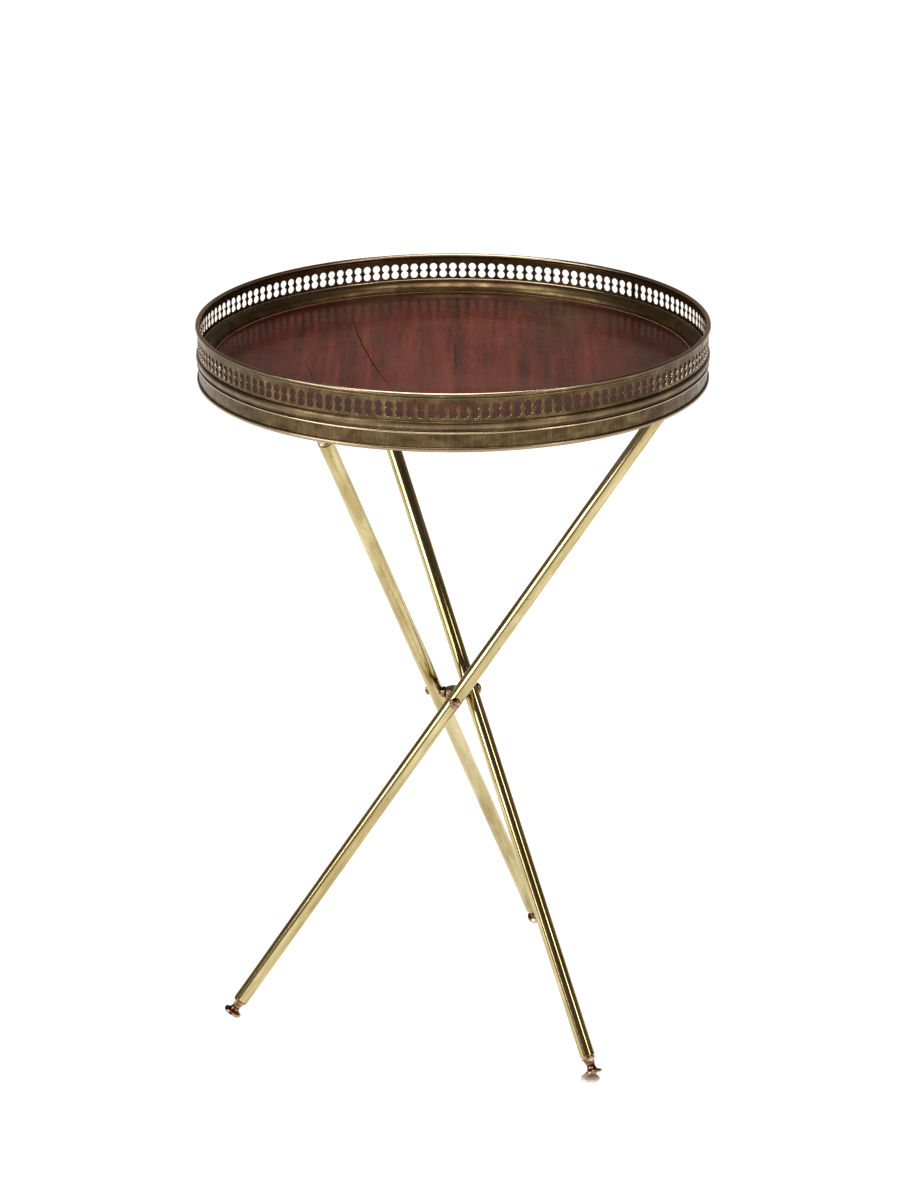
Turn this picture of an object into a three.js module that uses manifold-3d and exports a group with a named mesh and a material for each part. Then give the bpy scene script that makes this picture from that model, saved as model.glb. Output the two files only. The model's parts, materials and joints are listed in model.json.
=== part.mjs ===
// Folding tripod tray table: a round mahogany board in a pierced brass gallery,
// carried by three brass tubes that cross at a central hub.
// Millimetres, +Z up, origin on the floor under the hub.

import * as THREE from 'three';
import { mergeVertices } from 'three/addons/utils/BufferGeometryUtils.js';
import Module from 'manifold-3d';

const wasm = await Module();
wasm.setup();

// ---- driving dimensions ----
const GAP = 0.3; // clearance between neighbouring pieces
const EPS = 0.01; // how far a cutting solid reaches past a face
const MERGE = 1e-3; // vertices closer than this are one

// tray
const RIM_R = 215; // outer radius of the rolled rim
const RIM_ROLL_R = 2; // radius of the rolled rim's section
const TRAY_H = 49; // rim top to bottom edge
const WELL_DEPTH = 31.3; // rim top to board
const BOARD_T = 8.5;
const BOARD_R = 199.7;
const STRIP_R = 213.2; // gallery strip, outside
const STRIP_T = 1;
const BAND_R = 212.6; // skirt band, outside
const BAND_T = 1.4;
const BAND_TOP = 23.3; // below the rim top, as are the next five
const MOULDING_TOP = 23.6;
const MOULDING_BOTTOM = 31;
const BEAD_TOP = 32;
const BEAD_BOTTOM = 34.2;
const HOLES_MID = 14.8;
const MOULDING_PROUD = 1.9;
const BEAD_PROUD = 1.2;
const COVE_H = 8.3;
const COVE_LIP = 1.1;
const HOLE_PAIRS = 156; // openings round the gallery, each a pair of joined circles
const HOLE_R = 3.5;
const HOLE_PITCH = 6.6; // between the two circles of an opening
const HOLE_WAIST = 1.3; // half width where the two circles join
const RING_SEGMENTS = HOLE_PAIRS / 3;
const ROLL_SIDES = 8; // of the rolled rim's and bottom bead's section
const MOULDING_SIDES = 5;
const BEAD_SIDES = 4;
const COVE_STEPS = [0.25, 0.5, 0.75]; // shares of the cove's quarter circle

// tripod
const TILT = THREE.MathUtils.degToRad(34.1); // each leg from upright, table open
const FIRST_AZIMUTH = THREE.MathUtils.degToRad(-87); // pivot screw of the first leg
const LEG_COUNT = 3;
const LEG_OFFSET = 17.3; // table axis to tube axis
const TUBE_R = 6.5;
const TUBE_WALL = 1.2;
const TUBE_HALF = 334.5; // pivot to tube end
const PAD_LEG = 2; // the leg that stands on the pad
const PAD_R = 8.4;
const PAD_T = 3;
const PAD_INSET = 5; // the pad's centre is this much nearer the hub than its foot's centre
const PAD_EDGE = 0.6; // chamfer of the pad's edges
const TUBE_SEGMENTS = 24;

// hub and pivots
const HUB_R = 7.2;
const HUB_H = 11;
const HUB_CHAMFER = 0.8;
const SHANK_R = 2.3;
const SHANK_TIP = 3.2; // table axis to the end of the screw
const HEAD_R = 5;
const HEAD_H = 3;
const SLOT_W = 1.2;
const SLOT_DEPTH = 1.3;
const DOME_STEPS = [0.2, 0.5, 0.8]; // shares of the screw head's quarter circle
const SPACER_R = 4.8;
const PIVOT_SEGMENTS = 16;

// spool end, [radius, distance past the tube end], from the tube outwards
const SPOOL_SEGMENTS = 16;
const SPIGOT_R = TUBE_R - TUBE_WALL - GAP;
const SPIGOT_L = 12;
const SPOOL_PROFILE = [
  [SPIGOT_R, GAP],
  [SPIGOT_R, 1],
  [6.1, 1.1],
  [5.5, 3],
  [4, 6],
  [3.6, 9],
  [5, 12],
  [7.7, 13.2],
  [8.1, 14.2],
  [7.8, 15.2],
  [6.8, 15.5],
];

// ---- derived dimensions ----
const spoolReach = Math.max(
  ...SPOOL_PROFILE.map(([r, s]) => s * Math.cos(TILT) + r * Math.sin(TILT)),
);
const hubZ = TUBE_HALF * Math.cos(TILT) + spoolReach;
const boardBottom = 2 * hubZ + GAP;
const boardTop = boardBottom + BOARD_T;
const rimTop = boardTop + WELL_DEPTH;
const trayBottom = rimTop - TRAY_H;
const legTopReach = Math.max(
  ...SPOOL_PROFILE.map(([r, s]) => {
    const sideways = (TUBE_HALF + s) * Math.sin(TILT) + r * Math.cos(TILT);
    return Math.hypot(LEG_OFFSET + r, sideways);
  }),
);

// ---- materials ----
const finish = (color, roughness, metalness) =>
  new THREE.MeshStandardMaterial({ color, roughness, metalness });
const agedBrass = () => finish(0x7d6a3c, 0.42, 1);
const polishedBrass = () => finish(0xc9a85a, 0.18, 1);
const darkBrass = () => finish(0x8a6a45, 0.3, 1);
const mahogany = () => finish(0x5e2418, 0.16, 0);
const innerWood = () => finish(0x7a5636, 0.7, 0);
const paleFelt = () => finish(0xd8d3c8, 0.9, 0);

// ---- geometry helpers ----

// Revolves [radius, height] points about +Z. Points run anticlockwise, with radius
// to the right and height up, and the outline closes on itself or on the axis.
function turned(points, segments) {
  const outline = points.map(([r, z]) => new THREE.Vector2(r, z));
  return new THREE.LatheGeometry(outline, segments).rotateX(Math.PI / 2);
}

function turnedRing(points, segments) {
  return turned([...points, points[0]], segments);
}

function rectangle(inner, outer, bottom, top) {
  return [[inner, bottom], [outer, bottom], [outer, top], [inner, top]];
}

function circleSection(centreR, centreZ, radius, sides) {
  return Array.from({ length: sides }, (_, i) => {
    const angle = (2 * Math.PI * i) / sides;
    return [centreR + radius * Math.cos(angle), centreZ + radius * Math.sin(angle)];
  });
}

// A half-round moulding standing out from the radius inner.
function halfRound(inner, proud, bottom, top, sides) {
  const mid = (bottom + top) / 2;
  const half = (top - bottom) / 2;
  return Array.from({ length: sides + 1 }, (_, i) => {
    const angle = -Math.PI / 2 + (Math.PI * i) / sides;
    return [inner + proud * Math.cos(angle), mid + half * Math.sin(angle)];
  });
}

function toSolid(geometry) {
  const bare = geometry.clone();
  bare.deleteAttribute('normal');
  bare.deleteAttribute('uv');
  const merged = mergeVertices(bare, MERGE);
  return new wasm.Manifold(new wasm.Mesh({
    numProp: 3,
    vertProperties: new Float32Array(merged.attributes.position.array),
    triVerts: new Uint32Array(merged.index.array),
  }));
}

function toGeometry(solid) {
  const mesh = solid.getMesh();
  const geometry = new THREE.BufferGeometry();
  geometry.setAttribute('position', new THREE.BufferAttribute(mesh.vertProperties, 3));
  geometry.setIndex(new THREE.BufferAttribute(mesh.triVerts, 1));
  return geometry;
}

function cut(geometry, cutters) {
  let solid = toSolid(geometry);
  for (const cutter of cutters) solid = solid.subtract(toSolid(cutter));
  return toGeometry(solid);
}

// A bar along +X from start to end.
function barAlongX(radius, start, end) {
  const outline = [[0, start], [radius, start], [radius, end], [0, end]];
  return turned(outline, PIVOT_SEGMENTS).rotateY(Math.PI / 2);
}

function addMesh(parent, name, geometry, material) {
  const mesh = new THREE.Mesh(geometry, material);
  mesh.name = name;
  parent.add(mesh);
  return mesh;
}

// ---- gallery strip ----

// An opening's outline, seen flat: two facing circles, each cut down to three corners,
// joined at the narrow waist.
function openingOutline() {
  const rise = HOLE_PITCH / 2;
  return [
    [0, -rise - HOLE_R],
    [HOLE_R, -rise],
    [HOLE_WAIST, 0],
    [HOLE_R, rise],
    [0, rise + HOLE_R],
    [-HOLE_R, rise],
    [-HOLE_WAIST, 0],
    [-HOLE_R, -rise],
  ];
}

// One closed ring made of equal cells, each with one opening through it.
function piercedStrip(outerR, innerR, bottom, top, holeZ) {
  const pitch = (2 * Math.PI) / HOLE_PAIRS;
  const half = (outerR * pitch) / 2;
  const corners = [[-half, bottom], [half, bottom], [half, top], [-half, top]];
  const opening = openingOutline().map(([x, z]) => [x, z + holeZ]);
  const flat = [...corners, ...opening];
  const faces = THREE.ShapeUtils.triangulateShape(
    corners.map((p) => new THREE.Vector2(...p)),
    [opening.map((p) => new THREE.Vector2(...p))],
  );
  const positions = [];
  const addTriangle = (cell, ...points) => {
    for (const [index, radius] of points) {
      const angle = cell * pitch + flat[index][0] / outerR;
      positions.push(radius * Math.cos(angle), radius * Math.sin(angle), flat[index][1]);
    }
  };
  const addWall = (cell, a, b) => {
    addTriangle(cell, [a, outerR], [b, innerR], [b, outerR]);
    addTriangle(cell, [a, outerR], [a, innerR], [b, innerR]);
  };
  for (let cell = 0; cell < HOLE_PAIRS; cell += 1) {
    for (const [a, b, c] of faces) {
      addTriangle(cell, [a, outerR], [b, outerR], [c, outerR]);
      addTriangle(cell, [c, innerR], [b, innerR], [a, innerR]);
    }
    addWall(cell, 0, 1);
    addWall(cell, 2, 3);
    opening.forEach((_, i) => {
      const from = corners.length + i;
      const to = corners.length + ((i + 1) % opening.length);
      addWall(cell, to, from);
    });
  }
  const geometry = new THREE.BufferGeometry();
  geometry.setAttribute('position', new THREE.Float32BufferAttribute(positions, 3));
  return mergeVertices(geometry, MERGE);
}

// ---- tray ----

function coveSection() {
  const outer = BAND_R - BAND_T - GAP;
  const inner = BOARD_R + 2 * GAP;
  const bottom = boardTop + GAP;
  const top = bottom + COVE_H;
  const curve = COVE_STEPS.map((t) => {
    const angle = (Math.PI / 2) * t;
    const span = outer - COVE_LIP - inner;
    return [
      outer - COVE_LIP - span * Math.sin(angle),
      top - (COVE_H - COVE_LIP) * (1 - Math.cos(angle)),
    ];
  });
  return [
    [inner, bottom],
    [outer, bottom],
    [outer, top],
    [outer - COVE_LIP, top],
    ...curve,
    [inner, bottom + COVE_LIP],
  ];
}

function buildTray() {
  const tray = new THREE.Group();
  const bandIn = BAND_R - BAND_T;
  const trimIn = BAND_R + GAP;
  const hoopIn = legTopReach + GAP;
  const hoopOut = bandIn - GAP;
  const rollR = RIM_R - RIM_ROLL_R;
  const stripTop = rimTop - 2 * RIM_ROLL_R - GAP;
  const bandTop = rimTop - BAND_TOP;
  const bandBottom = trayBottom + 2 * RIM_ROLL_R + GAP;

  const ring = (name, section, material) =>
    addMesh(tray, name, turnedRing(section, RING_SEGMENTS), material);

  ring('rim_bead', circleSection(rollR, rimTop - RIM_ROLL_R, RIM_ROLL_R, ROLL_SIDES), agedBrass());
  addMesh(
    tray,
    'gallery_strip',
    piercedStrip(STRIP_R, STRIP_R - STRIP_T, bandTop + GAP, stripTop, rimTop - HOLES_MID),
    agedBrass(),
  );
  ring(
    'gallery_moulding',
    halfRound(
      trimIn,
      MOULDING_PROUD,
      rimTop - MOULDING_BOTTOM,
      rimTop - MOULDING_TOP,
      MOULDING_SIDES,
    ),
    agedBrass(),
  );
  ring(
    'moulding_bead',
    halfRound(trimIn, BEAD_PROUD, rimTop - BEAD_BOTTOM, rimTop - BEAD_TOP, BEAD_SIDES),
    agedBrass(),
  );
  ring('skirt_band', rectangle(bandIn, BAND_R, bandBottom, bandTop), agedBrass());
  ring(
    'bottom_bead',
    circleSection(BAND_R - GAP, trayBottom + RIM_ROLL_R, RIM_ROLL_R, ROLL_SIDES),
    agedBrass(),
  );
  ring('cove_ring', coveSection(), agedBrass());
  ring(
    'edge_hoop',
    [
      [hoopIn, bandBottom],
      [hoopOut, bandBottom],
      [hoopOut, boardTop],
      [BOARD_R + GAP, boardTop],
      [BOARD_R + GAP, boardBottom],
      [hoopIn, boardBottom],
    ],
    innerWood(),
  );
  const boardOutline = [[0, boardBottom], [BOARD_R, boardBottom], [BOARD_R, boardTop], [0, boardTop]];
  addMesh(tray, 'tray_board', turned(boardOutline, RING_SEGMENTS), mahogany());
  return tray;
}

// ---- tripod ----

// A spool end pointing along +Z, its tube ending at z = tubeEnd.
function spoolEnd(tubeEnd) {
  const outline = [[0, -SPIGOT_L], [SPIGOT_R, -SPIGOT_L], ...SPOOL_PROFILE.slice(1)];
  const tip = SPOOL_PROFILE.at(-1)[1];
  const points = [...outline, [0, tip]].map(([r, s]) => [r, s + tubeEnd]);
  return turned(points, SPOOL_SEGMENTS);
}

function buildLeg(number) {
  const leg = new THREE.Group();
  leg.position.set(LEG_OFFSET, 0, 0);
  leg.rotation.x = -TILT;

  const padDrop = number === PAD_LEG ? (PAD_T + GAP) / Math.cos(TILT) : 0;
  const lower = TUBE_HALF - padDrop;
  const section = rectangle(TUBE_R - TUBE_WALL, TUBE_R, -lower, TUBE_HALF);
  const reach = TUBE_R + EPS;
  const crossHole = barAlongX(SHANK_R + GAP, -reach, reach);
  const tube = cut(turnedRing(section, TUBE_SEGMENTS), [crossHole]);
  addMesh(leg, `leg_tube_${number}`, tube, polishedBrass());
  addMesh(leg, `leg_top_${number}`, spoolEnd(TUBE_HALF), darkBrass());
  addMesh(leg, `leg_foot_${number}`, spoolEnd(lower).rotateX(Math.PI), darkBrass());
  return leg;
}

function buildScrew() {
  const seat = LEG_OFFSET + TUBE_R + GAP;
  const dome = DOME_STEPS.map((t) => {
    const angle = (Math.PI / 2) * t;
    return [HEAD_R * Math.cos(angle), seat + HEAD_H * Math.sin(angle)];
  });
  const outline = [
    [0, SHANK_TIP],
    [SHANK_R, SHANK_TIP],
    [SHANK_R, seat],
    [HEAD_R, seat],
    ...dome,
    [0, seat + HEAD_H],
  ];
  const slot = new THREE.BoxGeometry(2 * (HEAD_R + GAP), SLOT_W, 2 * SLOT_DEPTH);
  slot.translate(0, 0, seat + HEAD_H);
  return cut(turned(outline, PIVOT_SEGMENTS), [slot]).rotateY(Math.PI / 2);
}

function buildSpacer() {
  const inner = SHANK_R + GAP;
  const section = rectangle(inner, SPACER_R, HUB_R + GAP, LEG_OFFSET - TUBE_R - GAP);
  return turnedRing(section, PIVOT_SEGMENTS).rotateY(Math.PI / 2);
}

function buildHub() {
  const half = HUB_H / 2;
  const outline = [
    [0, -half],
    [HUB_R - HUB_CHAMFER, -half],
    [HUB_R, -half + HUB_CHAMFER],
    [HUB_R, half - HUB_CHAMFER],
    [HUB_R - HUB_CHAMFER, half],
    [0, half],
  ];
  const bores = legAzimuths().map((azimuth) =>
    barAlongX(SHANK_R + GAP, SHANK_TIP - GAP, HUB_R + GAP).rotateZ(azimuth));
  return cut(turned(outline, TUBE_SEGMENTS), bores);
}

function legAzimuths() {
  return Array.from(
    { length: LEG_COUNT },
    (_, i) => FIRST_AZIMUTH + (2 * Math.PI * i) / LEG_COUNT,
  );
}

function buildTripod() {
  const tripod = new THREE.Group();
  tripod.position.z = hubZ;
  addMesh(tripod, 'hub_core', buildHub(), darkBrass());
  legAzimuths().forEach((azimuth, i) => {
    const number = i + 1;
    const side = new THREE.Group();
    side.rotation.z = azimuth;
    side.add(buildLeg(number));
    addMesh(side, `pivot_screw_${number}`, buildScrew(), darkBrass());
    addMesh(side, `pivot_spacer_${number}`, buildSpacer(), darkBrass());
    tripod.add(side);
  });
  return tripod;
}

// The pad lies on the floor, under the edge of the foot that rests on it.
function buildPad() {
  const azimuth = legAzimuths()[PAD_LEG - 1];
  const footEnd = TUBE_HALF + SPOOL_PROFILE.at(-1)[1];
  const footCentre = footEnd * Math.sin(TILT) - (PAD_T + GAP) * Math.tan(TILT);
  const along = footCentre - PAD_INSET;
  const outline = [
    [0, 0],
    [PAD_R - PAD_EDGE, 0],
    [PAD_R, PAD_EDGE],
    [PAD_R, PAD_T - PAD_EDGE],
    [PAD_R - PAD_EDGE, PAD_T],
    [0, PAD_T],
  ];
  const pad = turned(outline, TUBE_SEGMENTS);
  pad.translate(LEG_OFFSET, -along, 0);
  return pad.rotateZ(azimuth);
}

const table = new THREE.Group();
table.add(buildTray());
table.add(buildTripod());
addMesh(table, `foot_pad_${PAD_LEG}`, buildPad(), paleFelt());

export default table;
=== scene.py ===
import json
import math

import bpy
from mathutils import Matrix, Vector
from mathutils.geometry import tessellate_polygon


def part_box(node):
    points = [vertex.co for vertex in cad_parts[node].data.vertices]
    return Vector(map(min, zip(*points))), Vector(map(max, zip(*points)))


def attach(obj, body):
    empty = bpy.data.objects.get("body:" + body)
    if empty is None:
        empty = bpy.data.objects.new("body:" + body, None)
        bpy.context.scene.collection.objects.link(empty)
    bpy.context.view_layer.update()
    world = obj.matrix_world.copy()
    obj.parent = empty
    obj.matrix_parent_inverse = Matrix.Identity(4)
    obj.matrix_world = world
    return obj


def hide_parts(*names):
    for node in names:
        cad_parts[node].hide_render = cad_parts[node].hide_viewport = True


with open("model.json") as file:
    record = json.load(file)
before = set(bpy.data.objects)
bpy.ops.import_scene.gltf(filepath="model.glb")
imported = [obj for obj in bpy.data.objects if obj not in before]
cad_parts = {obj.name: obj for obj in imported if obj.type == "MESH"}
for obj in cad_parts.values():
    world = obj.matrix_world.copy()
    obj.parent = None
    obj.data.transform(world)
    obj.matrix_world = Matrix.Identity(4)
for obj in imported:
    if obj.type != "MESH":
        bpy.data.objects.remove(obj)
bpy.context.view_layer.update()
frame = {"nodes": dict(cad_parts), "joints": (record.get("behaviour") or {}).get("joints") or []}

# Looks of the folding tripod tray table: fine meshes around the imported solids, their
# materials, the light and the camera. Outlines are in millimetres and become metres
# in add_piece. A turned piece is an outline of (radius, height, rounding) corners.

MM = 0.001
TINY = 1e-6
FILLET_STEPS = 6
RING_STEPS = 312
TUBE_STEPS = 64
SMALL_STEPS = 48
CREASE = math.radians(38)

# tray, mm
ROLL_R = 2.0
ROLL_SIDES = 24
STRIP_T = 1.0
STRIP_EDGE = 0.18
WELD_REACH = 0.002
HOLE_PAIRS = 156
HOLE_R = 3.3
HOLE_PITCH = 6.3
HOLE_WAIST = 1.2
HOLE_ARC_START = -64
HOLE_ARC_END = 244
HOLE_ARC_STEPS = 12
HOLE_BELOW_RIM = 14.8
SEAM_AZIMUTH = math.radians(43.5)
SEAM_SQUEEZE = 0.62
LAP_WIDTH = 2.6
LAP_T = 0.45
LAP_EDGE = 0.12
BAND_T = 1.4
COVE_LIP = 1.1
COVE_BEAD_R = 0.65
COVE_STEPS = 10
COVE_FOOT = 0.6
COVE_INSET = 0.5
COVE_SUNK = 0.25
BEAD_SIDES = 16
HALF_ROUND_STEPS = 14
ROOT = 0.2
MOULDING_ROOT = 0.3
RIM_LIP_OUT = 0.7
RIM_LIP_BELOW = 0.9
RIM_LIP_ABOVE = 0.5
BAND_DOWN = 0.6
BAND_UP = 0.35
BOARD_GAP = 0.3

# cracks in the board, mm: width, back end, front end, and sideways bow at the middle
CRACK_DEPTH = 1.6
CRACK_ABOVE = 0.5
CRACK_STEP = 4.0
CRACK_JITTER = 0.7
CRACK_TIP = 0.06
CRACKS = [
    (0.95, (-91, 140), (-47, -105), -5.5),
    (0.45, (-124, -20), (-111, -80), 0),
    (0.5, (-52, 5), (-32, -25), 0),
    (0.4, (-15, 150), (3, -65), 5.5),
]

# tripod, mm
LEGS = (1, 2, 3)
TUBE_R = 6.5
TUBE_WALL = 1.2
CROSS_HOLE_R = 2.6
PIVOT_ZONE = 9.0
SPOOL = [
    (0, -12),
    (5.0, -12, 0.6),
    (5.0, 0.8, 0.15),
    (6.2, 0.8, 0.3),
    (6.2, 2.0, 0.4),
    (5.5, 2.5, 0.3),
    (4.3, 5.2, 2.5),
    (3.6, 8.4, 3.5),
    (4.6, 11.6, 2.2),
    (7.8, 12.9, 1.2),
    (8.15, 14.1, 0.7),
    (7.8, 15.4, 0.8),
    (5.6, 15.5, 0.4),
    (0, 15.2),
]
HUB_GROOVE = 0.45
SHANK_R = 2.3
SHANK_TIP = 3.2
HEAD_SEAT = 23.5
HEAD_R = 5.0
HEAD_SIDE = 0.9
HEAD_TOP = 27.0
DOME_STEPS = 8
SLOT_W = 1.1
SLOT_DEPTH = 1.2
SLOT_TURNS = [math.radians(a) for a in (62, 15, 110)]
SPACER_BORE_R = 2.6

# floor, mm
FLOOR_REACH = 14000

# camera and light, metres; a room level is a strength of the world's light
CAMERA_PLACE = (0.0469, -3.3644, 1.5789)
CAMERA_PITCH = math.radians(19.62)
CAMERA_YAW = math.radians(0.85)
CAMERA_ROLL = math.radians(0.126)
CAMERA_LENS = 125.5
SENSOR = 36.0
LIGHT_TARGET = (0, 0, 0.4)
ROOM_COLOR = (1, 0.8, 0.66, 1)
ROOM_LEVEL = 0.2
ROOM_LEVEL_BEHIND = 0.26
ROOM_LEVEL_OVERHEAD = 0.25
BAND_LEVEL = 0.95


# ---- meshes ----

def rounded(corners):
    """Points of an outline with its corners rounded, and how exposed each one is."""
    points = []
    exposure = []
    for i, corner in enumerate(corners):
        here = Vector(corner[:2])
        if len(corner) < 3:
            points.append(here)
            exposure.append(0.0)
            continue
        back = Vector(corners[i - 1][:2]) - here
        ahead = Vector(corners[(i + 1) % len(corners)][:2]) - here
        reach = corner[2] / math.tan(back.angle(ahead) / 2)
        reach = min(reach, 0.48 * back.length, 0.48 * ahead.length)
        start = here + back.normalized() * reach
        end = here + ahead.normalized() * reach
        proud = 1 if back.y * ahead.x - back.x * ahead.y > 0 else -1
        for step in range(FILLET_STEPS + 1):
            t = step / FILLET_STEPS
            points.append(start * (1 - t) ** 2 + here * 2 * t * (1 - t) + end * t * t)
            exposure.append(proud * 4 * t * (1 - t))
    return points, exposure


def add_piece(name, verts, faces, wear_and_shade, material, place=Matrix.Identity(4)):
    mesh = bpy.data.meshes.new(name)
    mesh.from_pydata([Vector(v) * MM for v in verts], [], faces)
    mesh.attributes.new("wear_and_shade", "FLOAT", "POINT").data.foreach_set("value", wear_and_shade)
    obj = bpy.data.objects.new(name, mesh)
    bpy.context.scene.collection.objects.link(obj)
    obj.matrix_world = place
    mesh.materials.append(material)
    return obj


def smooth(obj):
    """Smooth shading with creases kept, and normals weighted by area."""
    obj.data.polygons.foreach_set("use_smooth", [True] * len(obj.data.polygons))
    obj.data.set_sharp_from_angle(angle=CREASE)
    even = obj.modifiers.new("even", "WEIGHTED_NORMAL")
    even.keep_sharp = True
    return obj


def lathe(name, corners, steps, material, place=Matrix.Identity(4), closed=True, wear_and_shade=None):
    """Turns an outline about +Z. An open outline starts and ends on the axis."""
    points, exposure = rounded(corners)
    rows = []
    verts = []
    worn = []
    for (radius, height), exposed in zip(points, exposure):
        around = 1 if radius < TINY else steps
        rows.append(range(len(verts), len(verts) + around))
        for k in range(around):
            angle = 2 * math.pi * k / steps
            verts.append((radius * math.cos(angle), radius * math.sin(angle), height))
            worn.append(exposed if wear_and_shade is None else wear_and_shade(radius, height))
    faces = []
    following = rows[1:] + rows[:1] if closed else rows[1:]
    for row, after in zip(rows, following):
        for k in range(steps):
            quad = [row[k % len(row)], row[(k + 1) % len(row)]]
            quad += [after[(k + 1) % len(after)], after[k % len(after)]]
            faces.append(list(dict.fromkeys(quad)))
    return smooth(add_piece(name, verts, faces, worn, material, place))


def cut(obj, cutter):
    """Cuts the closed mesh cutter out of obj, and removes the cutter."""
    modifier = obj.modifiers.new("cut", "BOOLEAN")
    modifier.object = cutter
    modifier.solver = "EXACT"
    obj.modifiers.move(len(obj.modifiers) - 1, 0)
    for other in obj.modifiers:
        other.show_viewport = other == modifier
    graph = bpy.context.evaluated_depsgraph_get()
    fresh = bpy.data.meshes.new_from_object(obj.evaluated_get(graph))
    obj.modifiers.clear()
    obj.data = fresh
    bpy.data.objects.remove(cutter)
    return smooth(obj)


def bar(length, width, depth, place):
    """A closed bar, centred on the place's origin, for cutting."""
    sides = (-0.5, 0.5)
    verts = [(x * length, y * width, z * depth) for x in sides for y in sides for z in sides]
    faces = [(0, 1, 3, 2), (4, 6, 7, 5), (0, 4, 5, 1), (2, 3, 7, 6), (0, 2, 6, 4), (1, 5, 7, 3)]
    return add_piece("bar", verts, faces, [0.0] * len(verts), None, place)


def finish_piece(obj, body, node):
    """Rides the piece on its body. An added piece has no node to stand for."""
    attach(obj, body)
    if node:
        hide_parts(node)
    return obj


# ---- shader nodes ----

class Graph:
    """Nodes of one material. A link or a value can stand for each input."""

    def __init__(self, name):
        self.material = bpy.data.materials.new(name)
        self.material.use_nodes = True
        self.tree = self.material.node_tree
        self.shader = self.tree.nodes["Principled BSDF"]

    def node(self, kind, inputs=None, **settings):
        made = self.tree.nodes.new("ShaderNode" + kind)
        for key, value in settings.items():
            setattr(made, key, value)
        for key, value in (inputs or {}).items():
            self.put(made.inputs[key], value)
        return made

    def put(self, socket, value):
        if isinstance(value, bpy.types.NodeSocket):
            self.tree.links.new(value, socket)
        else:
            socket.default_value = value

    def shade(self, **values):
        for key, value in values.items():
            self.put(self.shader.inputs[key.replace("_", " ")], value)

    def coords(self, stretch=(1, 1, 1)):
        place = self.node("TexCoord").outputs["Object"]
        return self.node("Mapping", {"Vector": place, "Scale": stretch}).outputs[0]

    def noise(self, stretch, scale, detail=4.0, rough=0.55, distortion=0.0):
        inputs = {
            "Vector": self.coords(stretch),
            "Scale": scale,
            "Detail": detail,
            "Roughness": rough,
            "Distortion": distortion,
        }
        return self.node("TexNoise", inputs).outputs[0]

    def math(self, operation, a, b):
        return self.node("Math", {0: a, 1: b}, operation=operation).outputs[0]

    def span(self, value, low, high, to_low=0.0, to_high=1.0):
        """The value from low to high, mapped to the range from to_low to to_high."""
        inputs = {0: value, 1: low, 2: high, 3: to_low, 4: to_high}
        return self.node("MapRange", inputs).outputs[0]

    def ramp(self, value, stops):
        made = self.node("ValToRGB", {0: value})
        elements = made.color_ramp.elements
        while len(elements) < len(stops):
            elements.new(1.0)
        for element, (position, color) in zip(elements, stops):
            element.position = position
            element.color = (*color, 1)
        return made.outputs[0]

    def mix(self, share, a, b):
        made = self.node("Mix", data_type="RGBA")
        for key, value in {0: share, 6: a, 7: b}.items():
            if isinstance(value, tuple):
                value = (*value, 1)
            self.put(made.inputs[key], value)
        return made.outputs[2]

    def wear_and_shade(self):
        return self.node("Attribute", attribute_name="wear_and_shade").outputs["Fac"]

    def bump(self, height, strength, distance, below=None):
        inputs = {"Height": height, "Strength": strength, "Distance": distance * MM}
        if below is not None:
            inputs["Normal"] = below
        return self.node("Bump", inputs).outputs[0]


# ---- materials ----

def aged_brass():
    """Rolled brass sheet: olive-brown tarnish with upright streaks, bright on proud edges."""
    g = Graph("aged_brass")
    streaks = g.noise((1, 1, 0.04), 900, 5, 0.6)
    fine_streaks = g.noise((1, 1, 0.02), 1900, 3, 0.6)
    patches = g.noise((1, 1, 1.6), 46, 6, 0.64, 0.4)
    spots = g.noise((1, 1, 1), 420, 3, 0.7)
    wear_and_shade = g.wear_and_shade()
    clean = g.math("ADD", g.math("MULTIPLY", streaks, 0.3), g.math("MULTIPLY", patches, 0.7))
    color = g.ramp(clean, [
        (0.32, (0.04, 0.021, 0.01)),
        (0.46, (0.085, 0.054, 0.026)),
        (0.56, (0.13, 0.09, 0.042)),
        (0.7, (0.24, 0.175, 0.085)),
    ])
    # dark where it is grimy in hollows, and painted shade under the rim's roll
    grime_and_shade = g.span(wear_and_shade, -0.15, -0.8)
    color = g.mix(grime_and_shade, color, (0.02, 0.011, 0.005))
    worn = g.span(wear_and_shade, 0.2, 1.0)
    color = g.mix(g.math("MULTIPLY", worn, 0.85), color, (0.62, 0.48, 0.33))
    dark_spots = g.span(spots, 0.66, 0.74, 0.0, 0.7)
    color = g.mix(dark_spots, color, (0.035, 0.02, 0.01))
    rough = g.span(clean, 0.3, 0.7, 0.46, 0.26)
    rough = g.math("ADD", rough, g.math("MULTIPLY", dark_spots, 0.2))
    rough = g.math("SUBTRACT", rough, g.math("MULTIPLY", worn, 0.2))
    relief = g.math("ADD", g.math("MULTIPLY", fine_streaks, 0.5), g.math("MULTIPLY", spots, 0.5))
    g.shade(Base_Color=color, Metallic=1.0, Roughness=rough)
    g.shade(Normal=g.bump(relief, 0.35, 0.12, g.bump(patches, 0.25, 0.5)))
    return g.material


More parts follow.
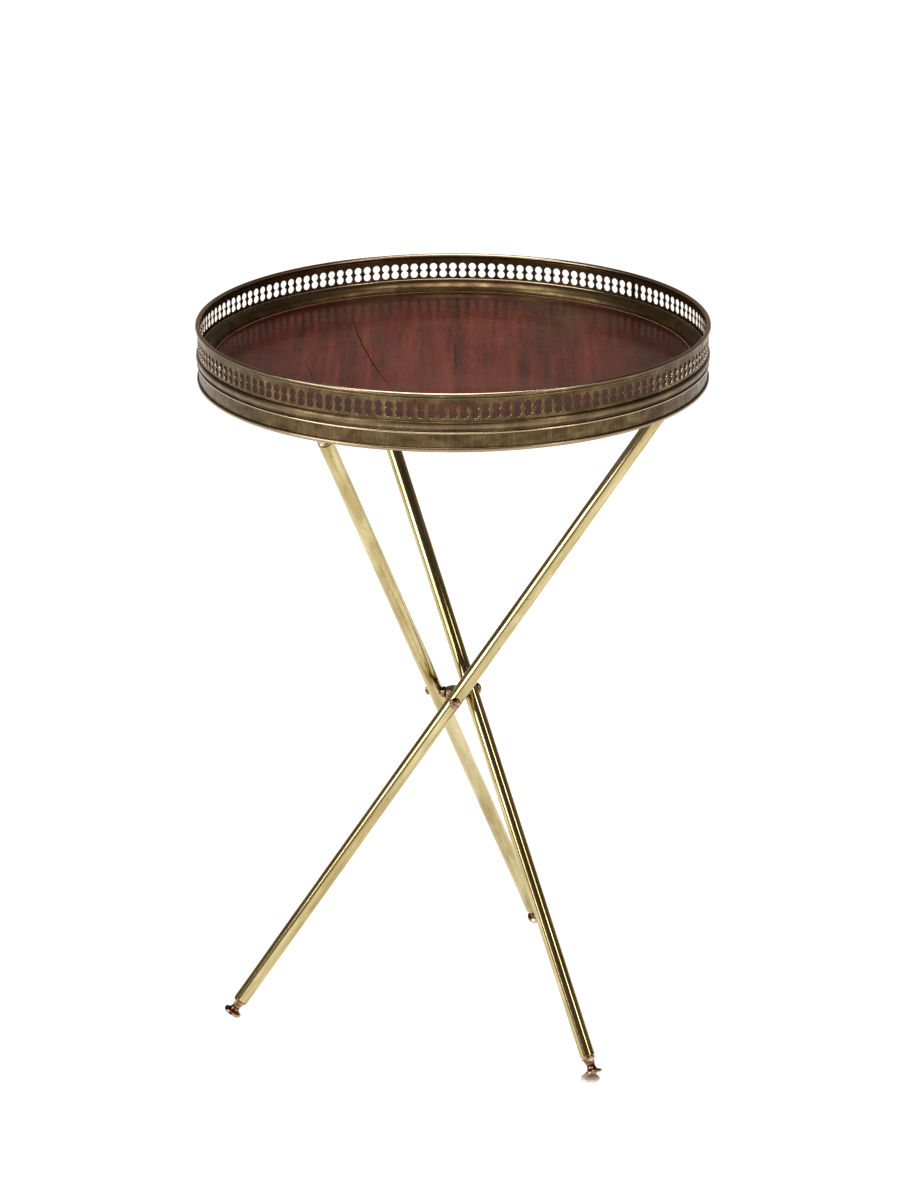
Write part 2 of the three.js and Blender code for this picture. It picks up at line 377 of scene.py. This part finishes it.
def polished_brass():
    """Drawn brass tube: fine lengthwise marks, faint tarnish, small dark pits."""
    g = Graph("polished_brass")
    drawn = g.noise((1, 1, 0.012), 900, 4, 0.6)
    haze = g.noise((1, 1, 0.25), 60, 5, 0.6, 0.5)
    pits = g.noise((1, 1, 0.5), 330, 2, 0.6)
    marks = g.noise((1, 1, 0.6), 900, 2, 0.5)
    tone = g.math("ADD", g.math("MULTIPLY", drawn, 0.35), g.math("MULTIPLY", haze, 0.65))
    color = g.ramp(tone, [
        (0.34, (0.29, 0.21, 0.08)),
        (0.48, (0.44, 0.36, 0.17)),
        (0.62, (0.6, 0.52, 0.3)),
    ])
    pitted = g.span(pits, 0.7, 0.76)
    color = g.mix(pitted, color, (0.1, 0.06, 0.02))
    color = g.mix(g.span(g.wear_and_shade(), -0.1, -0.7), color, (0.06, 0.03, 0.01))
    rough = g.math("ADD", g.span(haze, 0.35, 0.65, 0.17, 0.09), g.math("MULTIPLY", pitted, 0.35))
    relief = g.math("SUBTRACT", g.math("MULTIPLY", marks, 0.35), pitted)
    g.shade(Base_Color=color, Metallic=1.0, Roughness=rough)
    g.shade(Normal=g.bump(relief, 0.2, 0.08, g.bump(drawn, 0.12, 0.06)))
    return g.material


def bronzed_brass():
    """Turned brass: pinkish where polished, dark in the hollows, with turning lines."""
    g = Graph("bronzed_brass")
    lines = g.noise((0.05, 0.05, 1), 2600, 3, 0.6)
    patches = g.noise((1, 1, 1), 170, 5, 0.65, 0.3)
    wear_and_shade = g.wear_and_shade()
    tone = g.math("ADD", patches, g.math("MULTIPLY", wear_and_shade, 0.16))
    color = g.ramp(tone, [
        (0.34, (0.08, 0.032, 0.018)),
        (0.5, (0.26, 0.145, 0.085)),
        (0.66, (0.58, 0.42, 0.29)),
    ])
    color = g.mix(g.span(wear_and_shade, -0.2, -0.9, 0.0, 0.85), color, (0.02, 0.008, 0.004))
    rough = g.span(tone, 0.35, 0.65, 0.27, 0.12)
    g.shade(Base_Color=color, Metallic=1.0, Roughness=rough)
    g.shade(Normal=g.bump(lines, 0.22, 0.08, g.bump(patches, 0.2, 0.15)))
    return g.material


def mahogany(top):
    """French-polished mahogany with its grain along Y, with painted shade that darkens it towards the
    edge and below its top.
    """
    g = Graph("mahogany")
    figure = g.noise((1, 0.09, 1), 26, 6, 0.62, 1.1)
    streaks = g.noise((1, 0.035, 1), 190, 5, 0.66, 0.3)
    pores = g.noise((1, 0.03, 1), 1500, 2, 0.6)
    cloudy = g.noise((1, 0.7, 1), 9, 4, 0.55, 0.6)
    grain = g.math("ADD", g.math("MULTIPLY", figure, 0.55), g.math("MULTIPLY", streaks, 0.45))
    color = g.ramp(grain, [
        (0.36, (0.024, 0.002, 0.001)),
        (0.46, (0.08, 0.007, 0.004)),
        (0.56, (0.16, 0.02, 0.011)),
        (0.68, (0.26, 0.05, 0.032)),
    ])
    color = g.mix(g.span(cloudy, 0.48, 0.62, 0.0, 0.3), color, (0.17, 0.07, 0.052))
    color = g.mix(g.span(pores, 0.56, 0.68, 0.0, 0.6), color, (0.02, 0.006, 0.005))
    place = g.node("SeparateXYZ", {0: g.coords()})
    reach = g.node("VectorMath", {0: g.coords((1, 1, 0))}, operation="LENGTH").outputs["Value"]
    # painted shade of the gallery and cove: the board darkens towards its edge, with a ragged border
    edge_shade_reach = g.math("ADD", reach, g.math("MULTIPLY", g.math("SUBTRACT", cloudy, 0.5), 0.06))
    color = g.mix(g.span(edge_shade_reach, 0.11, 0.195, 0.0, 0.92), color, (0.026, 0.003, 0.002))
    # painted shade: near black inside the cracks and down the board's side, below its top
    below_top_shade = g.span(place.outputs["Z"], (top - 0.12) * MM, (top - 0.5) * MM)
    color = g.mix(below_top_shade, color, (0.012, 0.004, 0.003))
    smudges = g.noise((1, 1, 1), 34, 5, 0.6, 0.8)
    rough = g.span(smudges, 0.35, 0.65, 0.22, 0.34)
    coat_rough = g.span(smudges, 0.3, 0.7, 0.09, 0.19)
    relief = g.math("SUBTRACT", g.math("MULTIPLY", streaks, 0.4), g.math("MULTIPLY", pores, 0.3))
    g.shade(Base_Color=color, Roughness=rough, Specular_IOR_Level=0.15)
    g.shade(Coat_Weight=0.48, Coat_Roughness=coat_rough, Coat_IOR=1.45)
    g.shade(Normal=g.bump(relief, 0.3, 0.1), Coat_Normal=g.bump(figure, 0.05, 0.4))
    return g.material


def plain_wood():
    """Bare hoop wood, with short grain round the tray and rubbed edges."""
    g = Graph("plain_wood")
    grain = g.noise((1, 1, 0.12), 150, 5, 0.65, 0.6)
    fibre = g.noise((1, 1, 0.06), 900, 3, 0.6)
    stain = g.noise((1, 1, 1), 22, 4, 0.6)
    tone = g.math("ADD", g.math("MULTIPLY", grain, 0.6), g.math("MULTIPLY", stain, 0.4))
    color = g.ramp(tone, [
        (0.34, (0.09, 0.04, 0.02)),
        (0.5, (0.22, 0.115, 0.06)),
        (0.66, (0.38, 0.23, 0.13)),
    ])
    color = g.mix(g.span(g.wear_and_shade(), 0.2, 0.9, 0.0, 0.5), color, (0.42, 0.27, 0.16))
    rough = g.span(fibre, 0.35, 0.65, 0.58, 0.8)
    g.shade(Base_Color=color, Roughness=rough, Normal=g.bump(fibre, 0.4, 0.2))
    return g.material


def pale_felt():
    """Pressed off-white felt, greyed round its edge."""
    g = Graph("pale_felt")
    fluff = g.noise((1, 1, 1), 2400, 4, 0.75)
    dirt = g.noise((1, 1, 1), 240, 4, 0.6)
    color = g.ramp(dirt, [(0.35, (0.74, 0.71, 0.66)), (0.65, (0.95, 0.94, 0.91))])
    color = g.mix(g.span(g.wear_and_shade(), 0.1, 0.9, 0.0, 0.5), color, (0.36, 0.33, 0.29))
    rough = g.span(fluff, 0.3, 0.7, 0.82, 0.98)
    g.shade(Base_Color=color, Roughness=rough, Normal=g.bump(fluff, 0.6, 0.3))
    g.shade(Sheen_Weight=0.4)
    return g.material


def white_paper():
    """The studio floor: matt paper that glows a little, so that it stays white."""
    g = Graph("white_paper")
    fibres = g.noise((1, 1, 1), 60, 3, 0.5)
    color = g.ramp(fibres, [(0.3, (0.52, 0.52, 0.52)), (0.7, (0.58, 0.58, 0.58))])
    g.shade(Base_Color=color, Roughness=0.9)
    g.shade(Emission_Color=(1, 1, 1, 1), Emission_Strength=0.95)
    return g.material


# ---- tray ----

def ring_of(node):
    """Outer radius, bottom and top of a ring round the table's axis, in mm."""
    low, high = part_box(node)
    return high.x / MM, low.z / MM, high.z / MM


def half_round(inner, outer, bottom, top):
    """Section of a half-round moulding, closed behind at the radius inner."""
    half = (top - bottom) / 2
    arc = []
    for step in range(HALF_ROUND_STEPS + 1):
        angle = math.pi * (step / HALF_ROUND_STEPS - 0.5)
        arc.append((inner + (outer - inner) * math.cos(angle), bottom + half * (1 + math.sin(angle))))
    return arc


def round_section(radius, height, thickness, sides):
    """A round section of the radius thickness, centred at (radius, height)."""
    angles = [2 * math.pi * k / sides for k in range(sides)]
    return [(radius + thickness * math.cos(a), height + thickness * math.sin(a)) for a in angles]


def roll_section(outer, top):
    """Section of a rolled edge with its outside at outer and its crown at top."""
    return round_section(outer - ROLL_R, top - ROLL_R, ROLL_R, ROLL_SIDES)


def bead_wear(low, high, polish):
    """Wear of a bead: polished along its middle, grimy at its two edges."""
    def wear_and_shade(radius, height):
        across = abs(2 * (height - low) / (high - low) - 1)
        return polish - (polish + 0.7) * across ** 4
    return wear_and_shade


def crown_wear_and_shade(low, high):
    """Wear and painted shade of the rim: polished on its crown, and darker at its foot, where shade is
    painted under the roll.
    """
    def wear_and_shade(radius, height):
        return 1.5 * (height - low) / (high - low) - 0.45
    return wear_and_shade


def opening_outline(squeeze, grow):
    """A pair of joined circles, seen flat, anticlockwise from the waist's right side."""
    points = [(HOLE_WAIST + grow, 0.0)]
    reach = HOLE_R + grow
    sweep = HOLE_ARC_END - HOLE_ARC_START
    for centre, turn in ((HOLE_PITCH / 2, 0), (-HOLE_PITCH / 2, 180)):
        for k in range(HOLE_ARC_STEPS + 1):
            angle = math.radians(turn + HOLE_ARC_START + sweep * k / HOLE_ARC_STEPS)
            points.append((reach * math.cos(angle), centre + reach * math.sin(angle)))
        points.append((-HOLE_WAIST - grow, 0.0))
    return [(x * squeeze, z) for x, z in points[:-1]]


def add_strip_cell(verts, faces, wear_and_shade, azimuth, outer, bottom, top, middle, squeeze):
    """One cell of the pierced strip, with softened edges round its opening."""
    half = math.pi * outer / HOLE_PAIRS
    corners = [(-half, bottom), (half, bottom), (half, top), (-half, top)]
    wide = [(x, z + middle) for x, z in opening_outline(squeeze, STRIP_EDGE)]
    tight = [(x, z + middle) for x, z in opening_outline(squeeze, 0.0)]
    inner = outer - STRIP_T
    layers = [
        (corners + wide, outer, 0.0),
        (tight, outer - STRIP_EDGE, 1.0),
        (tight, inner + STRIP_EDGE, 0.2),
        (corners + wide, inner, 0.0),
    ]
    starts = []
    for points, radius, worn in layers:
        starts.append(len(verts))
        for x, z in points:
            angle = azimuth + x / outer
            verts.append((radius * math.cos(angle), radius * math.sin(angle), z))
            wear_and_shade.append(worn)
    flat = [[Vector((x, z, 0)) for x, z in ring] for ring in (corners, wide)]
    both = flat[0] + flat[1]
    for a, b, c in tessellate_polygon(flat):
        if (both[b] - both[a]).cross(both[c] - both[a]).z < 0:
            b, c = c, b
        faces.append((starts[0] + a, starts[0] + b, starts[0] + c))
        faces.append((starts[3] + c, starts[3] + b, starts[3] + a))
    count = len(wide)
    ring_starts = [starts[0] + 4, starts[1], starts[2], starts[3] + 4]
    for near, far in zip(ring_starts, ring_starts[1:]):
        for k in range(count):
            after = (k + 1) % count
            faces.append((near + after, near + k, far + k, far + after))
    for k in (0, 2):
        faces.append((starts[0] + k + 1, starts[0] + k, starts[3] + k, starts[3] + k + 1))


def pierced_strip(material):
    """The gallery's strip, one cell for each opening, with a narrow one at the seam."""
    outer, bottom, top = ring_of("gallery_strip")
    rim_top = ring_of("rim_bead")[2]
    verts = []
    faces = []
    wear_and_shade = []
    middle = rim_top - HOLE_BELOW_RIM
    for cell in range(HOLE_PAIRS):
        azimuth = SEAM_AZIMUTH - math.pi / HOLE_PAIRS + 2 * math.pi * cell / HOLE_PAIRS
        squeeze = SEAM_SQUEEZE if cell == 0 else 1.0
        add_strip_cell(verts, faces, wear_and_shade, azimuth, outer, bottom, top, middle, squeeze)
    obj = add_piece("gallery_strip_fine", verts, faces, wear_and_shade, material)
    merge = obj.modifiers.new("merge", "WELD")
    merge.merge_threshold = WELD_REACH * MM
    return smooth(obj)


def seam_lap(material):
    """The strip's lapped end: a thin plate on the inside, behind the seam."""
    outer, bottom, top = ring_of("gallery_strip")
    half = LAP_WIDTH / 2 / outer
    inner = outer - STRIP_T - LAP_T
    plate = [(inner, -half), (outer - STRIP_T / 2, -half), (outer - STRIP_T / 2, half), (inner, half)]
    verts = []
    for z in (bottom, top):
        for radius, angle in plate:
            turn = SEAM_AZIMUTH + angle
            verts.append((radius * math.cos(turn), radius * math.sin(turn), z))
    faces = [(3, 2, 1, 0), (4, 5, 6, 7)]
    for k in range(4):
        after = (k + 1) % 4
        faces.append((k, after, after + 4, k + 4))
    lap = add_piece("gallery_seam_lap", verts, faces, [-0.4] * len(verts), material)
    soften = lap.modifiers.new("soften", "BEVEL")
    soften.width = LAP_EDGE * MM
    soften.segments = 3
    return lap


def cove_section():
    """Section of the hollow ring that falls from the gallery to the board."""
    outer, bottom, top = ring_of("cove_ring")
    low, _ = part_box("tray_board")
    inner = -low.x / MM + COVE_INSET
    lip = outer - COVE_LIP
    curve = []
    for k in range(COVE_STEPS + 1):
        angle = math.pi / 2 * k / COVE_STEPS
        radius = lip - (lip - inner) * math.sin(angle)
        curve.append((radius, top - (top - bottom - COVE_FOOT) * (1 - math.cos(angle))))
    groove = (lip - 0.05, top - 0.1)
    floor = bottom - COVE_SUNK
    return [(inner, floor), (outer, floor), (outer, top), groove, *curve[1:]]


def crack_cutter(width, start, end, bow, top):
    """A wedge on a bowed course from start to end, widest in the middle."""
    count = round(math.dist(start, end) / CRACK_STEP)
    verts = []
    for k in range(count + 1):
        along = k / count
        swell = math.sin(math.pi * along)
        half = width / 2 * (CRACK_TIP + (1 - CRACK_TIP) * swell ** 0.6)
        x = start[0] + (end[0] - start[0]) * along + bow * swell
        y = start[1] + (end[1] - start[1]) * along
        x += CRACK_JITTER * math.sin(2.3 * k) * math.sin(1.1 * k + x)
        spread = half * (1 + CRACK_ABOVE / CRACK_DEPTH)
        verts.append((x - spread, y, top + CRACK_ABOVE))
        verts.append((x, y, top - CRACK_DEPTH))
        verts.append((x + spread, y, top + CRACK_ABOVE))
    faces = [(2, 1, 0), (len(verts) - 3, len(verts) - 2, len(verts) - 1)]
    for k in range(count):
        for side in range(3):
            after = (side + 1) % 3
            faces.append((3 * k + side, 3 * k + after, 3 * k + 3 + after, 3 * k + 3 + side))
    return add_piece("crack", verts, faces, [0.0] * len(verts), None)


def tray_board():
    """The mahogany board, with its cracks cut into the top."""
    radius, bottom, top = ring_of("tray_board")
    outline = [(0, bottom), (radius, bottom, 0.5), (radius, top, 0.6), (0, top)]
    board = lathe("tray_board_fine", outline, RING_STEPS, mahogany(top), closed=False)
    for width, start, end, bow in CRACKS:
        cut(board, crack_cutter(width, start, end, bow, top))
    return finish_piece(board, "tray", "tray_board")


def build_tray():
    brass = aged_brass()

    def ring(node, outline, wear_and_shade=None):
        made = lathe(node + "_fine", outline, RING_STEPS, brass, wear_and_shade=wear_and_shade)
        return finish_piece(made, "tray", node)

    outer, low, high = ring_of("rim_bead")
    # the rim is polished on its crown, with painted shade darkening its foot
    ring("rim_bead", roll_section(outer, high), crown_wear_and_shade(low, high))
    finish_piece(pierced_strip(brass), "tray", "gallery_strip")
    finish_piece(seam_lap(brass), "tray", None)
    strip_outer, _, strip_high = ring_of("gallery_strip")
    lip_bottom = strip_high - RIM_LIP_BELOW
    lip_top = strip_high + RIM_LIP_ABOVE
    lip = half_round(strip_outer - ROOT, strip_outer + RIM_LIP_OUT, lip_bottom, lip_top)
    made = lathe("rim_lip", lip, RING_STEPS, brass, wear_and_shade=lambda r, z: 0.35)
    finish_piece(made, "tray", None)

    band_outer, band_low, band_high = ring_of("skirt_band")
    band_inner = band_outer - BAND_T
    for node, polish in (("gallery_moulding", 0.3), ("moulding_bead", 1.3)):
        outer, low, high = ring_of(node)
        ring(node, half_round(band_outer - MOULDING_ROOT, outer, low, high), bead_wear(low, high, polish))
    ring("skirt_band", [
        (band_inner, band_low - BAND_DOWN),
        (band_outer, band_low - BAND_DOWN),
        (band_outer, band_high + BAND_UP, 0.3),
        (band_inner, band_high + BAND_UP, 0.3),
    ])
    outer, low, high = ring_of("bottom_bead")
    ring("bottom_bead", roll_section(outer, high), bead_wear(low, high, 0.6))
    ring("cove_ring", cove_section())
    outer, low, high = ring_of("cove_ring")
    bead = round_section(outer - COVE_LIP / 2, high, COVE_BEAD_R, BEAD_SIDES)
    made = lathe("cove_bead", bead, RING_STEPS, brass, wear_and_shade=lambda r, z: 0.95)
    finish_piece(made, "tray", None)

    tray_board()
    board_outer, board_low, board_high = ring_of("tray_board")
    hoop_outer, hoop_low, _ = ring_of("edge_hoop")
    hoop_inner = hoop_inner_radius()
    hoop = lathe("edge_hoop_fine", [
        (hoop_inner, hoop_low, 0.8),
        (hoop_outer, hoop_low, 0.8),
        (hoop_outer, board_high, 0.3),
        (board_outer + BOARD_GAP, board_high, 0.3),
        (board_outer + BOARD_GAP, board_low, 0.1),
        (hoop_inner, board_low, 0.3),
    ], RING_STEPS, plain_wood())
    finish_piece(hoop, "tray", "edge_hoop")


def hoop_inner_radius():
    """Inner radius of the hoop under the board, from its solid's own vertices, in mm."""
    vertices = frame["nodes"]["edge_hoop"].data.vertices
    return min(math.hypot(v.co.x, v.co.y) for v in vertices) / MM


# ---- tripod ----

def leg_joint(number):
    """Pivot, axis and fold angle of a leg's hinge."""
    for joint in frame["joints"]:
        if joint["name"] == f"leg_{number}_fold":
            return Vector(joint["pos_m"]), Vector(joint["axis"]), math.radians(joint["range_deg"][1])
    raise ValueError(f"leg {number} has no joint")


def frame_along(axis_z, axis_x, origin):
    """A place whose +Z runs along axis_z and whose +X is nearest to axis_x."""
    across = axis_z.cross(axis_x).normalized()
    ahead = across.cross(axis_z)
    turn = Matrix((ahead, across, axis_z)).transposed().to_4x4()
    return Matrix.Translation(origin) @ turn


def leg_place(number):
    """A place at the leg's pivot whose +Z runs up the tube."""
    pivot, axis, tilt = leg_joint(number)
    side = Vector((0, 0, 1)).cross(axis)
    along = Vector((0, 0, math.cos(tilt))) + side * math.sin(tilt)
    return frame_along(along, axis, pivot)


def tube_ends(number):
    """Distances along the leg from its pivot down and up to the tube's ends, in mm."""
    pivot, _, tilt = leg_joint(number)
    low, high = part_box(f"leg_tube_{number}")
    edge = TUBE_R * math.sin(tilt)
    down = ((pivot.z - low.z) / MM - edge) / math.cos(tilt)
    up = ((high.z - pivot.z) / MM - edge) / math.cos(tilt)
    return down, up


def leg_tube(number, material):
    """A tube, drilled across for its pivot screw."""
    down, up = tube_ends(number)
    inner = TUBE_R - TUBE_WALL
    outline = [
        (inner, -down, 0.3),
        (TUBE_R, -down, 0.4),
        (TUBE_R, -PIVOT_ZONE),
        (TUBE_R, PIVOT_ZONE),
        (TUBE_R, up, 0.4),
        (inner, up, 0.3),
        (inner, PIVOT_ZONE),
        (inner, -PIVOT_ZONE),
    ]
    place = leg_place(number)
    tube = lathe(f"leg_tube_{number}_fine", outline, TUBE_STEPS, material, place)
    reach = 2 * TUBE_R
    outline = [(0, -reach), (CROSS_HOLE_R, -reach), (CROSS_HOLE_R, reach), (0, reach)]
    across = place @ Matrix.Rotation(math.pi / 2, 4, "Y")
    cut(tube, lathe("drill", outline, SMALL_STEPS, None, across, closed=False))
    return finish_piece(tube, f"leg_{number}", f"leg_tube_{number}")


def spool_end(name, number, turn, tube_end, material):
    """A turned end: turn 0 is for the top and half a turn for the foot."""
    along = Matrix.Translation((0, 0, tube_end * MM))
    place = leg_place(number) @ Matrix.Rotation(turn, 4, "X") @ along
    made = lathe(f"{name}_fine", SPOOL, TUBE_STEPS, material, place, closed=False)
    return finish_piece(made, f"leg_{number}", name)


def radial_place(number):
    """A place on the table's axis at hub height whose +Z points out along the pivot."""
    pivot, axis, _ = leg_joint(number)
    return frame_along(axis, Vector((0, 0, 1)), Vector((0, 0, pivot.z)))


def pivot_screw(number, material):
    """A screw with a domed, slotted head, its shank in the hub."""
    dome = []
    rise = HEAD_TOP - HEAD_SEAT - HEAD_SIDE
    for k in range(DOME_STEPS):
        angle = math.pi / 2 * k / DOME_STEPS
        height = HEAD_SEAT + HEAD_SIDE + rise * math.sin(angle)
        dome.append((HEAD_R * math.cos(angle), height))
    outline = [
        (0, SHANK_TIP),
        (SHANK_R, SHANK_TIP, 0.4),
        (SHANK_R, HEAD_SEAT - 2.2, 0.2),
        (HEAD_R - 0.5, HEAD_SEAT, 0.2),
        (HEAD_R, HEAD_SEAT + 0.3, 0.2),
        *dome,
        (0, HEAD_TOP),
    ]
    place = radial_place(number)
    screw = lathe(f"pivot_screw_{number}_fine", outline, SMALL_STEPS, material, place, closed=False)
    lift = Matrix.Translation((0, 0, HEAD_TOP * MM))
    turn = Matrix.Rotation(SLOT_TURNS[number - 1], 4, "Z")
    cut(screw, bar(3 * HEAD_R, SLOT_W, 2 * SLOT_DEPTH, place @ lift @ turn))
    return finish_piece(screw, "hub", f"pivot_screw_{number}")


def pivot_spacer(number, material):
    """A sleeve on the screw between the hub and the tube."""
    pivot, _, _ = leg_joint(number)
    start = ring_of("hub_core")[0] - 0.3
    end = math.hypot(pivot.x, pivot.y) / MM - TUBE_R - 0.1
    node = f"pivot_spacer_{number}"
    low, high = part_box(node)
    radius = (high.z - low.z) / MM / 2
    outline = [
        (SPACER_BORE_R, start, 0.1),
        (radius, start, 0.3),
        (radius, end, 0.4),
        (SPACER_BORE_R, end, 0.2),
    ]
    place = radial_place(number)
    made = lathe(f"{node}_fine", outline, SMALL_STEPS, material, place)
    return finish_piece(made, "hub", node)


def hub_core(material):
    """The turned hub, with a groove near its top."""
    radius, low, high = ring_of("hub_core")
    groove = HUB_GROOVE
    outline = [
        (0, low),
        (radius - 0.8, low, 0.3),
        (radius, low + 0.8, 0.3),
        (radius, high - 2.2, 0.15),
        (radius - groove, high - 2.2 + groove, 0.1),
        (radius - groove, high - 1.3 - groove / 2, 0.1),
        (radius, high - 1.3, 0.15),
        (radius, high - 0.6, 0.3),
        (radius - 0.6, high, 0.3),
        (0, high),
    ]
    made = lathe("hub_core_fine", outline, TUBE_STEPS, material, closed=False)
    return finish_piece(made, "hub", "hub_core")


def foot_pad():
    """A soft-edged disc with a slight hollow in its top."""
    low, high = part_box("foot_pad_2")
    middle = (low + high) / 2
    radius = (high.x - low.x) / MM / 2
    thick = high.z / MM
    outline = [
        (0, 0),
        (radius - 0.5, 0, 0.4),
        (radius, 1.2, 1.0),
        (radius - 0.1, thick - 0.9, 0.9),
        (radius - 1.2, thick, 0.8),
        (3.0, thick - 0.25, 1.0),
        (0, thick - 0.3),
    ]
    place = Matrix.Translation((middle.x, middle.y, 0))
    made = lathe("foot_pad_2_fine", outline, TUBE_STEPS, pale_felt(), place, closed=False)
    return finish_piece(made, "leg_2", "foot_pad_2")


def build_tripod():
    brass = polished_brass()
    bronze = bronzed_brass()
    hub_core(bronze)
    for number in LEGS:
        leg_tube(number, brass)
        down, up = tube_ends(number)
        spool_end(f"leg_top_{number}", number, 0, up, bronze)
        spool_end(f"leg_foot_{number}", number, math.pi, down, bronze)
        pivot_screw(number, bronze)
        pivot_spacer(number, bronze)
    foot_pad()


# ---- studio ----

def add_floor():
    far = FLOOR_REACH
    verts = [(-far, -far, 0), (far, -far, 0), (far, far, 0), (-far, far, 0)]
    floor = add_piece("floor", verts, [(0, 1, 2, 3)], [0.0] * 4, white_paper())


def area_light(name, place, size, power, color):
    """A soft box that faces the middle of the table."""
    data = bpy.data.lights.new(name, "AREA")
    data.shape = "RECTANGLE"
    data.size, data.size_y = size
    data.energy = power
    data.color = color
    lamp = bpy.data.objects.new(name, data)
    bpy.context.scene.collection.objects.link(lamp)
    turn = (Vector(LIGHT_TARGET) - Vector(place)).to_track_quat("-Z", "Y").to_matrix().to_4x4()
    lamp.matrix_world = Matrix.Translation(place) @ turn
    return lamp


def shade_from(light, piece):
    """Keep a light off one piece, as a flag on a stand does in a studio."""
    shaded = bpy.data.collections.new(light.name + "_flag")
    shaded.objects.link(piece)
    light.light_linking.receiver_collection = shaded
    for entry in shaded.collection_objects:
        entry.light_linking.link_state = "EXCLUDE"


def add_lights():
    board = bpy.data.objects["tray_board_fine"]
    area_light("overhead", (-0.2, -0.3, 2.7), (1.6, 1.6), 46, (1, 0.95, 0.9))
    left = area_light("left_box", (-2.2, -1.5, 1.5), (1.6, 1.6), 46, (1, 0.99, 0.97))
    right = area_light("right_box", (1.9, -1.7, 1.9), (0.45, 1.7), 16, (1, 0.93, 0.88))
    for box in (left, right):
        shade_from(box, board)


def add_world():
    """A dim warm room, paler behind the table and in a low band to the front right."""
    world = bpy.data.worlds.new("room")
    bpy.context.scene.world = world
    world.use_nodes = True
    nodes = world.node_tree.nodes
    links = world.node_tree.links

    def link(kind, *sources):
        made = nodes.new("ShaderNode" + kind)
        for socket, source in zip(made.inputs, sources):
            if isinstance(source, bpy.types.NodeSocket):
                links.new(source, socket)
            else:
                socket.default_value = source
        return made

    def times(a, b):
        made = link("Math", a, b)
        made.operation = "MULTIPLY"
        return made.outputs[0]

    def fade(value, start, end, level_from, level_to):
        return link("MapRange", value, start, end, level_from, level_to).outputs[0]

    direction = nodes.new("ShaderNodeTexCoord").outputs["Generated"]
    x, y, z = link("SeparateXYZ", direction).outputs
    behind = fade(y, 0.1, 0.9, ROOM_LEVEL, ROOM_LEVEL_BEHIND)
    low = fade(z, 0.75, 0.15, ROOM_LEVEL_OVERHEAD, 1.0)
    band = times(fade(z, 0.3, 0.22, 0.0, BAND_LEVEL), fade(x, -0.42, -0.3, 0.0, 1.0))
    band = times(band, fade(y, 0.0, -0.2, 0.0, 1.0))
    strength = link("Math", times(behind, low), band)
    background = nodes["Background"]
    background.inputs["Color"].default_value = ROOM_COLOR
    links.new(strength.outputs[0], background.inputs["Strength"])


def add_camera():
    """The photograph's view, fitted to the tray's ellipses, the legs and the feet."""
    data = bpy.data.cameras.new("camera")
    data.lens = CAMERA_LENS
    data.sensor_width = SENSOR
    camera = bpy.data.objects.new("camera", data)
    bpy.context.scene.collection.objects.link(camera)
    turn = Matrix.Rotation(CAMERA_YAW, 4, "Z") @ Matrix.Rotation(-CAMERA_PITCH, 4, "X")
    turn = turn @ Matrix.Rotation(CAMERA_ROLL, 4, "Y") @ Matrix.Rotation(math.pi / 2, 4, "X")
    camera.matrix_world = Matrix.Translation(CAMERA_PLACE) @ turn
    bpy.context.scene.camera = camera


add_camera()
build_tray()
build_tripod()
add_floor()
add_lights()
add_world()
bpy.context.scene.view_settings.view_transform = "Standard"
